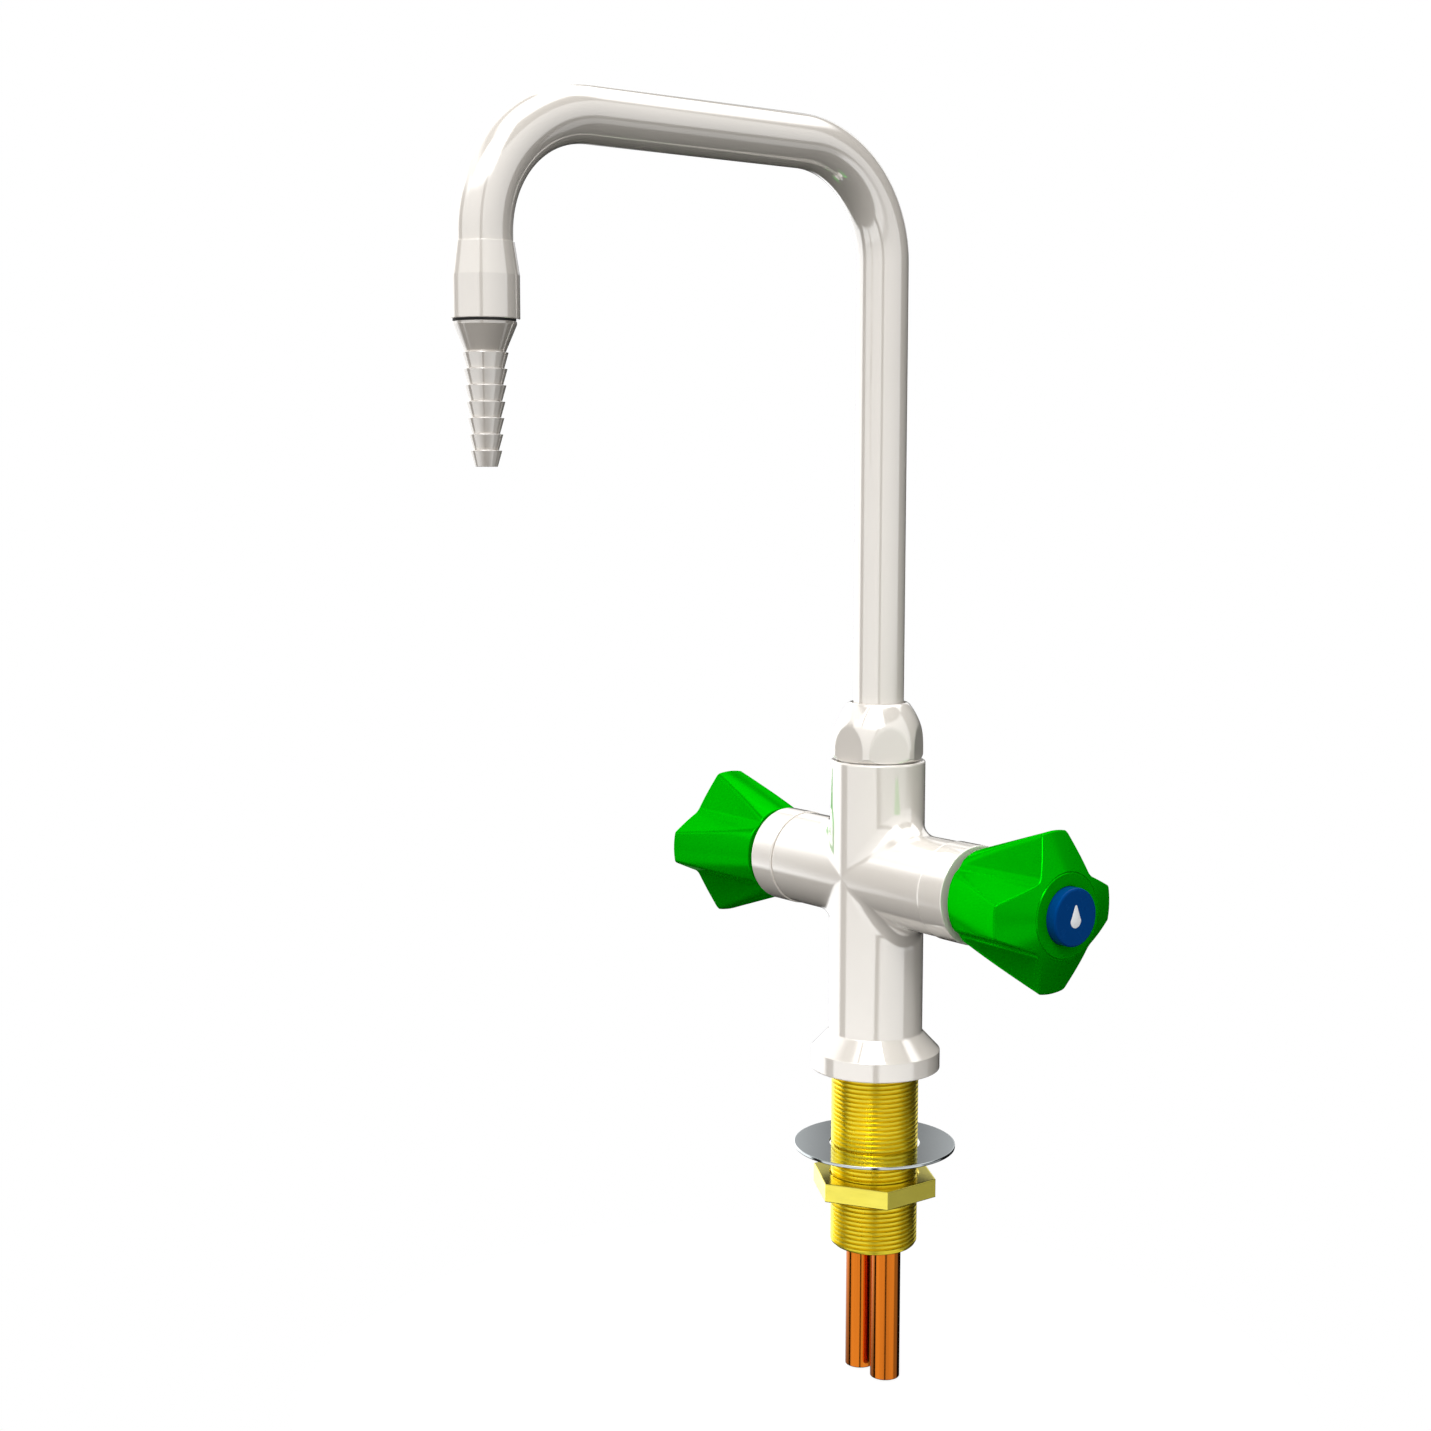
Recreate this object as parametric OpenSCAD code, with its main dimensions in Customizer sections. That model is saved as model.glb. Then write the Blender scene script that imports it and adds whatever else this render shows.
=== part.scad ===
// Bench-mounted laboratory mixer tap with a swivelling gooseneck spout, two lobed handles and a hose nozzle.
// Origin: centre of the flange underside, on the bench. +Z up, +X along the cold valve barrel,
// the spout points to -Y. All lengths in millimetres.

/* [Body] */
// Diameter of the upright column
column_d = 30; // [26:0.5:36]
// Diameter of the two valve barrels
barrel_d = 30; // [26:0.5:36]
// Height of the barrel axis above the bench
barrel_z = 63; // [50:0.5:80]
// Top of the column, under the spout nut
column_top = 99.6; // [90:0.1:120]
// Outer end of a barrel, from the column axis
barrel_end = 34.8; // [30:0.1:45]
// Radius of the fillets in the four corners of the cross
crotch_r = 8; // [4:0.5:12]
// Diameter of the base flange
flange_d = 41.4; // [36:0.2:60]
// Height of the straight band of the flange
flange_band = 6; // [3:0.5:12]
// Height at which the flange cone meets the column
flange_cone = 12; // [8:0.5:20]
// Bore radius of the mixing chamber above the valves
mixing_r = 6.5; // [4:0.5:9]

/* [Spout] */
// Outside diameter of the spout tube
tube_d = 15.9; // [12:0.1:20]
// Wall of the spout tube
tube_wall = 1.2; // [0.8:0.1:2]
// Horizontal reach from the swivel axis to the outlet axis
reach = 143.7; // [100:0.1:250]
// Height of the centreline of the horizontal run
run_z = 288; // [200:1:400]
// Centreline radius of both bends
bend_r = 33.8; // [24:0.1:60]
// Height of the lower end of the spout tube, inside the outlet socket
tube_end_z = 243.5; // [200:0.5:250]
// Radius of the ferrule that turns in the body
ferrule_r = 10.2; // [9:0.1:11]

/* [Spout nut] */
// Greatest radius of the domed nut
nut_r = 14.65; // [13:0.05:18]
// Distance across two opposite flats
nut_flats = 26.4; // [24:0.1:32]
// Height of the top face
nut_top = 118; // [110:0.5:130]
// Radius of the arc of the dome
dome_r = 23; // [15:0.5:40]
// Height where the dome begins
dome_z = 103.3; // [101:0.1:110]
// Turn of the flats about the upright axis
nut_turn = 4; // [0:1:59]

/* [Outlet] */
// Radius of the outlet socket at its top
socket_top_r = 8.3; // [8:0.05:10]
// Radius of the outlet socket at its mouth
socket_r = 9.65; // [9:0.05:12]
// Length of tube inside the outlet socket
socket_grip = 7.9; // [5:0.1:12]
// Length of the taper of the socket
socket_taper = 8.8; // [4:0.1:12]
// Length of the whole socket
socket_len = 20.4; // [16:0.1:30]
// Radius of the nozzle flange
nozzle_r = 8.75; // [8:0.05:10]
// Number of barbs on the nozzle
barbs = 7; // [3:1:10]
// Greatest radius of the first barb
barb_r = 6.4; // [5:0.1:8]
// Loss of radius from one barb to the next
barb_step = 0.33; // [0.1:0.01:0.6]
// Loss of radius along one barb
barb_drop = 1.25; // [0.5:0.05:2]
// Distance from barb to barb
barb_pitch = 4.37; // [3:0.01:6]
// Length of the nozzle from the socket to the first barb
nozzle_cone = 8.8; // [4:0.1:15]
// Bore radius of the nozzle
nozzle_bore = 2; // [1:0.1:3]

/* [Bench fixing] */
// Outside diameter of the threaded shank
shank_d = 28; // [24:0.5:33]
// Bore radius of the shank
shank_bore = 11.5; // [10:0.1:12]
// Length of the shank below the bench face
shank_len = 58.7; // [40:0.1:80]
// Pitch of the thread on the shank
thread_pitch = 1.5; // [1:0.25:2]
// Diameter of the bench washer
washer_d = 52; // [40:1:70]
// Thickness of the bench washer
washer_t = 1; // [0.5:0.1:3]
// Top face of the bench washer below the bench face
washer_z = 25.3; // [5:0.1:40]
// Distance across the flats of the backnut
backnut_flats = 36; // [34:1:46]
// Thickness of the backnut
backnut_t = 6; // [4:0.5:12]
// Top face of the backnut below the bench face
backnut_z = 35.2; // [10:0.1:50]

/* [Supply tails] */
// Outside diameter of a copper tail
tail_d = 9.5; // [8:0.1:10]
// Wall of a copper tail
tail_wall = 0.9; // [0.6:0.1:1.5]
// Distance of each tail from the shank axis
tail_x = 6.1; // [5.5:0.1:6.5]
// Lower end of the tails below the bench face
tail_end = 102; // [70:1:400]

/* [Valves] */
// Inner face of the valve chamber
chamber_in = 16; // [14:0.1:18]
// Radius of the valve chamber
chamber_r = 8.5; // [8:0.1:9.5]
// Height of the raised seat
seat_h = 1.5; // [1:0.1:2]
// Bore radius of the seat
seat_bore = 3.5; // [2.5:0.1:4]
// Radius of the headwork thread
head_r = 11; // [10:0.1:12]
// Radius of the neck of the headwork
neck_r = 8; // [7.5:0.1:9]
// Radius of the piston
piston_r = 6.4; // [6:0.1:7]
// Half the distance across the flats of the piston
piston_flat = 5.4; // [5:0.1:6]
// Radius of the stem where the seals run
stem_r = 4.5; // [4:0.1:5]
// Radius of the spindle thread
screw_r = 4; // [3:0.1:4.5]
// Side of the square drive end
square = 6.2; // [5:0.1:7]
// Travel of the piston from closed to open
lift = 3; // [2:0.5:3.5]

/* [Collars] */
// Radius of the white collar over the headwork
collar_r = 15.3; // [15:0.1:18]
// Distance from the end of the barrel to the outer end of the collar
collar_out = 10.4; // [8:0.1:16]

/* [Handles] */
// Radius of the lobe tips
lobe_r = 24.3; // [20:0.1:30]
// Distance of the lobe tips from the rear rim
lobe_out = 28.5; // [20:0.1:40]
// Half the width of a lobe at its tip, as an angle
lobe_half = 12.6; // [8:0.1:20]
// Radius of the rear rim
rim_r = 14.8; // [14:0.1:18]
// Gap between the collar and the rear rim
rim_gap = 2.4; // [1.6:0.1:4]
// Radius of the flat front disc
disc_r = 12.75; // [10:0.05:15]
// Distance of the front disc from the rear rim
disc_out = 34.5; // [30:0.1:50]
// Radius of the valleys at the rear
valley_rear = 13.9; // [13:0.1:16]
// Radius of the valleys at the front
valley_front = 14.8; // [13:0.1:16]
// Radius of the index button
index_r = 8.65; // [6:0.05:10]
// Height of the index button over the front disc
index_out = 3.3; // [1:0.1:6]

/* [Clearances] */
// Radial running clearance of pieces that turn or slide in each other
run_fit = 0.05; // [0.02:0.01:0.1]
// Radial clearance of threads and joints that stay put
fixed_fit = 0.05; // [0.02:0.01:0.2]
// Gap between faces that meet
face_gap = 0.3; // [0.1:0.05:0.5]
// Radial clearance of the washer on the shank
washer_gap = 0.6; // [0.3:0.1:2]

/* [Show] */
// Sub-part to show

/* [Hidden] */
$fn = 96;
eps = 0.01;
column_r = column_d / 2;
barrel_r = barrel_d / 2;
flange_r = flange_d / 2;
shank_r = shank_d / 2;
tube_r = tube_d / 2;
tube_bore = tube_r - tube_wall;
tail_r = tail_d / 2;
// threaded neck of the body inside the spout nut, and the ferrule's seat in the column
neck_h = 7.9;
neck_top = column_top + neck_h;
body_neck_r = 12;
socket_bore = ferrule_r + run_fit;
ferrule_depth = 14.6;
ferrule_z = column_top - ferrule_depth;
mix_top = ferrule_z - 0.5;
mix_rise = 10;
mix_bottom = barrel_z + mix_rise;
// flange of the ferrule and the ring over it
ferrule_flange_r = 11.2;
flange_low = neck_top + face_gap;
ferrule_flange_t = 1.6;
flange_high = flange_low + ferrule_flange_t;
slip_t = 1.6;
slip_high = flange_high + slip_t;
nut_cavity_top = slip_high + 0.2;
nut_low = column_top + face_gap;
nut_break = 1.3;
nut_skirt_r = nut_r - nut_break;
// shank and tails in the body
shank_socket = 10.5;
shank_top = shank_socket - 0.2;
shank_lead = 0.8;
// metric thread form, no deeper than half the wall
thread_depth = min(0.6134 * thread_pitch, (shank_r - shank_bore) / 2);
thread_flank = thread_depth * tan(30);
thread_crest = thread_pitch / 8;
thread_turns = floor((shank_len - shank_lead) / thread_pitch);
tail_fit_r = 5.25;
tail_spigot_r = 4.45;
tail_foot = 3;
tail_shoulder = shank_socket - tail_foot;
tail_port_top = 22.5;
inlet_r = 3;
inlet_wall = 2.6;
// seals
seal_groove = 1.8;
base_seal_in = 15.6;
base_seal_out = 18.6;
ring_d = 1.5;
ring_low = 5;
ring_gap = 7;
ring_z = [ferrule_z + ring_low, ferrule_z + ring_low + ring_gap];
stem_ring_d = 1.15;
stem_ring_gap = 2.4;
// headwork stations along the barrel axis
collar_end = barrel_end + collar_out;
rim_x = collar_end + rim_gap;
seat_x = chamber_in + seat_h;
seat_r = 5.5;
gasket_t = 0.8;
hex_r = 13.4;
head_grip = 10.5;
head_in = barrel_end - head_grip;
head_flange = barrel_end + gasket_t;
head_flange_t = 3;
head_flange_end = head_flange + head_flange_t;
head_end = collar_end + 0.4;
stem_ring_in = 4.7;
stem_ring_x = [head_end - stem_ring_in, head_end - stem_ring_in + stem_ring_gap];
thrust_rise = 1.4;
thrust_in = barrel_end + thrust_rise;
thrust_t = 2.8;
thrust_out = thrust_in + thrust_t;
clip_in = head_end + 0.3;
clip_t = 0.8;
clip_r = 6.2;
spindle_depth = 7.2;
spindle_in = barrel_end - spindle_depth;
drive_len = 16.4;
spindle_end = rim_x + drive_len;
disc_t = 1.6;
disc_gap = 0.05;
disc_in = seat_x + disc_gap;
seat_disc_r = 5.8;
piston_in = disc_in + disc_t;
piston_end = thrust_in - lift - 0.6;
piston_bore = spindle_in - lift - 0.4;
washer_screw_r = 1.5;
washer_screw_grip = 3.5;
washer_screw_end = piston_in + washer_screw_grip;
// threaded joint of nozzle and socket
nozzle_thread_r = 6.6;
socket_top_z = tube_end_z + socket_grip;
socket_mid_z = socket_top_z - socket_taper;
socket_low_z = socket_top_z - socket_len;
nozzle_gap = 2.5;
nozzle_top = tube_end_z - nozzle_gap;
nozzle_seam = 0.62;
nozzle_face = socket_low_z - nozzle_seam;
cone_end = socket_low_z - nozzle_cone;
nozzle_end = cone_end - barbs * barb_pitch + 0.02;
// handle stations along the barrel axis
lobe_x = rim_x + lobe_out;
disc_x = rim_x + disc_out;
index_x = disc_x + index_out;
hub_r = 7;
rim_wall = 2.6;
cavity_r = rim_r - rim_wall;
cavity_depth = 10.4;
cavity_end = rim_x + cavity_depth;
drive_end = spindle_end + 0.5;
screw_web = 3.5;
screw_seat = drive_end + screw_web;
pocket_depth = 3.3;
pocket_x = disc_x - pocket_depth;
screw_head_r = 3.9;
screw_head_h = 2.6;
tap_r = 2;
// fillets in the corners of the cross
fillet_n = 5;
fillet_stations = 12;
fillet_reach = 76;
fillet_break = 8;
fillet_tuck = 0.6;
fillet_root = crotch_r + 1.5;
fillet_points = fillet_n + 2;

c_white = [0.93, 0.92, 0.90];
c_green = [0.02, 0.62, 0.03];
c_blue = [0.02, 0.20, 0.48];
c_red = [0.75, 0.06, 0.05];
c_brass = [0.85, 0.66, 0.22];
c_copper = [0.80, 0.42, 0.16];
c_steel = [0.55, 0.60, 0.62];
c_rubber = [0.08, 0.08, 0.08];
c_nylon = [0.88, 0.86, 0.78];

// Turns local +Z to the barrel axis of the cold side
module on_barrel() {
  translate([0, 0, barrel_z])
    rotate([0, 90, 0])
      children();
}

// The cold side as drawn, the hot side mirrored
module side(cold) {
  if (cold) {
    children();
  } else {
    mirror([1, 0, 0]) children();
  }
}

module rod(r, from, to) {
  translate([0, 0, from]) cylinder(r = r, h = to - from);
}

module pipe(r, bore, from, to) {
  difference() {
    rod(r, from, to);
    rod(bore, from - 1, to + 1);
  }
}

module o_ring(mid_r, d, at) {
  translate([0, 0, at])
    rotate_extrude()
      translate([mid_r, 0]) circle(d = d, $fn = 32);
}

// Fillets in the four corners of the cross. A ball of radius crotch_r rolls between column and barrel.
// Each section is an arc between the two contact points. It is flatter than the ball by fillet_break at
// both ends, so it crosses the cylinders at an angle, and its ends and root lie inside the metal.
function unit(v) = v / norm(v);
function to_column(t) = [-cos(t), -sin(t), 0];
function to_barrel(t) = [0, -sin(t), -cos(t)];
function ball_centre(t) = (column_r + crotch_r) * [cos(t), sin(t), cos(t)];
function fillet_section(t) =
  let (
    a = to_column(t),
    b = to_barrel(t),
    centre = ball_centre(t),
    mid = centre + crotch_r * (a + b) / 2,
    toward = unit(a + b),
    along = unit(b - a),
    half = crotch_r * norm(b - a) / 2,
    turn = acos(a * b) / 2 - fillet_break,
    arc_r = half / sin(turn),
    tuck = fillet_tuck * (along * cos(turn) + toward * sin(turn)),
    tuck_b = fillet_tuck * (along * cos(turn) - toward * sin(turn))
  )
  concat(
    [mid - along * half - tuck],
    [for (i = [1 : fillet_n - 1])
      let (s = -turn + 2 * turn * i / fillet_n)
        mid + along * arc_r * sin(s) + toward * arc_r * (cos(s) - cos(turn))],
    [mid + along * half + tuck_b],
    [centre + fillet_root * (a + b)]
  );

module crotch_fillet() {
  points = [
    for (k = [0 : fillet_stations - 1])
      each fillet_section(-fillet_reach + 2 * fillet_reach * k / (fillet_stations - 1))
  ];
  n = fillet_points;
  sides = [
    for (k = [0 : fillet_stations - 2])
      for (i = [0 : n - 1])
        each [
          [k * n + i, (k + 1) * n + (i + 1) % n, k * n + (i + 1) % n],
          [k * n + i, (k + 1) * n + i, (k + 1) * n + (i + 1) % n]
        ]
  ];
  first = [for (i = [0 : n - 1]) i];
  last = [for (i = [n - 1 : -1 : 0]) (fillet_stations - 1) * n + i];
  polyhedron(points = points, faces = concat(sides, [first, last]), convexity = 4);
}

module crotch_fillets() {
  translate([0, 0, barrel_z])
    for (flip_x = [0, 1])
      for (flip_z = [0, 1])
        mirror([flip_x, 0, 0])
          mirror([0, 0, flip_z])
            crotch_fillet();
}

// Water ways of one side: tail port, riser, inlet chamber, seat, valve chamber and outlet to the mixing chamber
module water_ways() {
  translate([tail_x, 0, 0]) {
    rod(tail_fit_r + fixed_fit, shank_socket - 1, tail_port_top);
    rod(inlet_r, tail_port_top - 1, barrel_z);
  }
  on_barrel() {
    rod(seat_bore, inlet_wall, seat_x + 1);
    difference() {
      rod(chamber_r, chamber_in, head_in);
      rod(seat_r, chamber_in - 1, seat_x);
    }
    rod(head_r + fixed_fit, head_in - 0.3, barrel_end + 1);
  }
  outlet_r = 2.8;
  outlet_x = (seat_x + head_in) / 2 - 0.9;
  meet_x = 2;
  meet_drop = 5;
  outlet_from = [outlet_x, 0, barrel_z + chamber_r - outlet_r];
  outlet_to = [meet_x, 0, mix_top - meet_drop];
  run = outlet_to - outlet_from;
  translate(outlet_from)
    rotate([0, -atan2(-run[0], run[2]), 0])
      cylinder(r = outlet_r, h = norm(run));
}

module body() {
  rim = 0.6;
  edge = 0.3;
  color(c_white)
    difference() {
      union() {
        rotate_extrude()
          polygon([
            [0, 0],
            [flange_r - edge, 0],
            [flange_r, edge],
            [flange_r, flange_band],
            [column_r, flange_cone],
            [column_r, column_top - rim],
            [column_r - rim / 2, column_top - rim / 4],
            [column_r - rim, column_top],
            [body_neck_r, column_top],
            [body_neck_r, neck_top - 0.5],
            [body_neck_r - 0.5, neck_top],
            [0, neck_top]
          ]);
        on_barrel()
          rotate_extrude()
            polygon([
              [0, -barrel_end],
              [barrel_r - edge, -barrel_end],
              [barrel_r, -barrel_end + edge],
              [barrel_r, barrel_end - edge],
              [barrel_r - edge, barrel_end],
              [0, barrel_end]
            ]);
        crotch_fillets();
      }
      rod(shank_r + fixed_fit, -1, shank_socket);
      pipe(base_seal_out, base_seal_in, -1, seal_groove);
      rod(mixing_r, mix_bottom, mix_top + eps);
      rod(socket_bore, mix_top, neck_top + 1);
      side(true) water_ways();
      side(false) water_ways();
    }
}

module base_seal() {
  color(c_rubber) pipe(base_seal_out - 0.1, base_seal_in + 0.1, 0, seal_groove - 0.05);
}

// The thread is drawn as rings, one for each turn
module shank() {
  root_r = shank_r - thread_depth;
  color(c_brass)
    difference() {
      rotate_extrude()
        polygon(concat(
          [[0, shank_top], [shank_r, shank_top]],
          [for (i = [0 : thread_turns - 1])
            let (upper = -i * thread_pitch - thread_crest / 2, lower = upper - thread_pitch + thread_crest)
              each [
                [shank_r, upper],
                [root_r, upper - thread_flank],
                [root_r, lower + thread_flank],
                [shank_r, lower]
              ]],
          [
            [shank_r, -shank_len + shank_lead],
            [shank_r - shank_lead, -shank_len],
            [0, -shank_len]
          ]
        ));
      rod(shank_bore, -shank_len - 1, shank_top + 1);
    }
}

module bench_washer() {
  color(c_steel) pipe(washer_d / 2, shank_r + washer_gap, -washer_z - washer_t, -washer_z);
}

module backnut() {
  corner_r = backnut_flats / 2 / cos(30);
  bevel = 0.5;
  color(c_brass)
    translate([0, 0, -backnut_z - backnut_t])
      difference() {
        rotate([0, 0, 30]) cylinder(r = corner_r, h = backnut_t, $fn = 6);
        rod(shank_r + run_fit, -1, backnut_t + 1);
        for (end = [0, 1])
          translate([0, 0, end * backnut_t])
            mirror([0, 0, end])
              translate([0, 0, -eps])
                cylinder(r1 = shank_r + bevel, r2 = shank_r, h = bevel);
      }
}

// The upper end is a spigot that is soldered in its ferrule, under which the shoulder stops
module tail(cold) {
  color(c_copper)
    side(cold)
      translate([tail_x, 0, 0])
        difference() {
          union() {
            rod(tail_r, -tail_end, tail_shoulder);
            rod(tail_spigot_r, tail_shoulder - 1, tail_port_top - 1);
          }
          rod(tail_r - tail_wall, -tail_end - 1, tail_port_top);
        }
}

module tail_ferrule(cold) {
  color(c_brass)
    side(cold)
      translate([tail_x, 0, 0])
        pipe(tail_fit_r, tail_spigot_r + fixed_fit, tail_shoulder, tail_port_top - 0.5);
}

function dome(z) = nut_r - dome_r + sqrt(dome_r * dome_r - (z - dome_z) * (z - dome_z));

module spout_nut() {
  dome_n = 12;
  bore_r = body_neck_r + fixed_fit;
  color(c_white)
    difference() {
      rotate_extrude()
        polygon(concat(
          [[0, nut_low], [nut_skirt_r, nut_low], [nut_r, nut_low + 1.2]],
          [for (i = [0 : dome_n])
            let (z = dome_z + (nut_top - dome_z) * i / dome_n)
              [dome(z), z]],
          [[0, nut_top]]
        ));
      for (i = [0 : 5])
        rotate([0, 0, nut_turn + 60 * i])
          translate([-nut_r, -nut_flats / 2 - nut_r, nut_low - 1])
            cube([2 * nut_r, nut_r, nut_top]);
      rod(bore_r, nut_low - 1, neck_top + 0.2);
      rod(ferrule_flange_r + 0.3, neck_top, nut_cavity_top);
      rod(tube_r + face_gap, nut_low, nut_top + 1);
    }
}

module slip_ring() {
  gap = 2;
  color(c_nylon)
    difference() {
      pipe(ferrule_flange_r, tube_r + run_fit, flange_high, slip_high);
      translate([0, -gap / 2, flange_high - 1]) cube([2 * ferrule_flange_r, gap, slip_high]);
    }
}

module spout_ferrule() {
  step = 2;
  groove = ring_d + 0.3;
  color(c_brass)
    difference() {
      union() {
        rod(ferrule_r, ferrule_z, flange_high);
        rod(ferrule_flange_r, flange_low, flange_high);
      }
      rod(tube_r + fixed_fit, ferrule_z + step, flange_high + 1);
      rod(tube_bore, ferrule_z - 1, ferrule_z + step + 1);
      for (z = ring_z)
        pipe(ferrule_r + 1, ferrule_r - ring_d, z - groove / 2, z + groove / 2);
    }
}

module spout_seals() {
  color(c_rubber)
    for (z = ring_z)
      o_ring(ferrule_r - ring_d / 2 + 0.02, ring_d - 0.02, z);
}

// The centreline of the spout with radius r: riser, bend, run, bend and drop
module spout_path(r, low, end) {
  straight = reach - 2 * bend_r;
  bend_z = run_z - bend_r;
  rod(r, low, bend_z);
  translate([0, -bend_r, bend_z])
    rotate([90, 0, 90])
      rotate_extrude(angle = 90)
        translate([bend_r, 0]) circle(r = r);
  translate([0, -bend_r, run_z])
    rotate([90, 0, 0])
      cylinder(r = r, h = straight);
  translate([0, -bend_r - straight, bend_z])
    rotate([90, 0, 90])
      rotate([0, 0, 90])
        rotate_extrude(angle = 90)
          translate([bend_r, 0]) circle(r = r);
  translate([0, -reach, 0]) rod(r, end, bend_z);
}

module spout_tube() {
  color(c_white)
    difference() {
      spout_path(tube_r, ferrule_z + 2.1, tube_end_z);
      spout_path(tube_bore, ferrule_z - 2, tube_end_z - 2);
    }
}

module outlet_socket() {
  floor_z = tube_end_z - 1.5;
  color(c_white)
    translate([0, -reach, 0])
      difference() {
        rotate_extrude()
          polygon([
            [0, socket_low_z],
            [socket_r, socket_low_z],
            [socket_r, socket_mid_z],
            [socket_top_r, socket_top_z],
            [0, socket_top_z]
          ]);
        rod(tube_r + fixed_fit, tube_end_z - 0.1, socket_top_z + 1);
        rod(tube_bore, floor_z - 1, tube_end_z + 1);
        rod(nozzle_thread_r + fixed_fit, socket_low_z - 1, floor_z);
      }
}

module nozzle_seal() {
  color(c_rubber)
    translate([0, -reach, 0])
      pipe(nozzle_r - 0.2, nozzle_thread_r + 0.2, nozzle_face + 0.02, socket_low_z - 0.02);
}

module hose_nozzle() {
  band = 0.8;
  lead = 0.5;
  funnel_r = 5;
  neck = barb_r - 0.8;
  color(c_white)
    translate([0, -reach, 0])
      difference() {
        rotate_extrude()
          polygon(concat(
            [
              [0, nozzle_top],
              [nozzle_thread_r - lead, nozzle_top],
              [nozzle_thread_r, nozzle_top - lead],
              [nozzle_thread_r, nozzle_face],
              [nozzle_r, nozzle_face],
              [nozzle_r, nozzle_face - band],
              [neck, cone_end]
            ],
            [for (i = [0 : barbs - 1])
              each [
                [barb_r - i * barb_step, cone_end - i * barb_pitch],
                [barb_r - i * barb_step - barb_drop, cone_end - (i + 1) * barb_pitch + 0.02]
              ]],
            [[0, nozzle_end]]
          ));
        rod(nozzle_bore, nozzle_end - 1, tube_end_z);
        translate([0, 0, cone_end])
          cylinder(r1 = nozzle_bore, r2 = funnel_r, h = tube_end_z - cone_end);
      }
}

// Outline of the piston and, with extra, of the bore that keeps it from turning
module keyed(extra) {
  intersection() {
    circle(r = piston_r + extra);
    square([2 * piston_r + 2, 2 * (piston_flat + extra)], center = true);
  }
}

module bonnet(cold) {
  color(c_brass)
    side(cold)
      on_barrel()
        difference() {
          union() {
            rod(head_r, head_in, head_flange);
            translate([0, 0, head_flange])
              cylinder(r = hex_r, h = head_flange_end - head_flange, $fn = 6);
            rod(neck_r, head_flange_end - 0.5, head_end);
          }
          translate([0, 0, head_in - 1])
            linear_extrude(height = thrust_in - head_in + 1)
              keyed(run_fit);
          rod(piston_flat + run_fit, thrust_in - 1, thrust_out);
          rod(stem_r + run_fit, thrust_out - 1, head_end + 1);
        }
}

module gasket(cold) {
  color(c_rubber)
    side(cold)
      on_barrel()
        pipe(head_r + 1.2, head_r + 0.1, barrel_end + 0.02, head_flange - 0.02);
}

module collar(cold) {
  lip = 0.3;
  bore = 13.8;
  web = 42.6;
  color(c_white)
    side(cold)
      on_barrel()
        difference() {
          rotate_extrude()
            polygon([
              [0, barrel_end + face_gap],
              [collar_r - lip, barrel_end + face_gap],
              [collar_r, barrel_end + face_gap + lip],
              [collar_r, collar_end - lip],
              [collar_r - lip, collar_end],
              [0, collar_end]
            ]);
          rod(bore, barrel_end - 1, web);
          rod(neck_r + fixed_fit, web - 1, collar_end + 1);
        }
}

module spindle(cold) {
  groove = stem_ring_d + 0.3;
  stem_end = clip_in + clip_t;
  tap_depth = 10;
  clip_groove = 0.9;
  color(c_brass)
    side(cold)
      on_barrel()
        difference() {
          union() {
            rod(screw_r, spindle_in, thrust_in + 1);
            rod(piston_flat - 0.1, thrust_in + 0.05, thrust_out - 0.05);
            rod(stem_r, thrust_out - 0.1, stem_end + 0.8);
            translate([-square / 2, -square / 2, stem_end])
              cube([square, square, spindle_end - stem_end]);
          }
          for (z = stem_ring_x)
            pipe(stem_r + 1, stem_r - stem_ring_d, z - groove / 2, z + groove / 2);
          pipe(stem_r + 1, stem_r - clip_groove, clip_in - 0.05, stem_end + 0.05);
          rod(tap_r + fixed_fit, spindle_end - tap_depth, spindle_end + 1);
        }
}

module spindle_seals(cold) {
  color(c_rubber)
    side(cold)
      on_barrel()
        for (z = stem_ring_x)
          o_ring(stem_r - stem_ring_d / 2 + 0.02, stem_ring_d - 0.02, z);
}

module circlip(cold) {
  mouth = 3.2;
  color(c_steel)
    side(cold)
      on_barrel()
        difference() {
          pipe(clip_r, stem_r - 0.85, clip_in, clip_in + clip_t);
          translate([0, -mouth / 2, clip_in - 1]) cube([clip_r + 1, mouth, clip_t + 2]);
        }
}

module piston(cold) {
  key_in = head_in + 0.4;
  color(c_brass)
    side(cold)
      on_barrel()
        difference() {
          union() {
            translate([0, 0, key_in])
              linear_extrude(height = piston_end - key_in)
                keyed(0);
            rod(piston_flat, piston_in, key_in + 1);
          }
          rod(screw_r + run_fit, piston_bore, piston_end + 1);
          rod(washer_screw_r + fixed_fit, piston_in - 1, washer_screw_end + 0.5);
        }
}

module seat_washer(cold) {
  color(c_rubber)
    side(cold)
      on_barrel()
        pipe(seat_disc_r, washer_screw_r + 0.1, disc_in, piston_in);
}

module washer_screw(cold) {
  head = 1.1;
  head_r = 2.8;
  color(c_brass)
    side(cold)
      on_barrel() {
        rod(washer_screw_r, disc_in - 0.02, washer_screw_end);
        rod(head_r, disc_in - head, disc_in - 0.01);
      }
}

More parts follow.
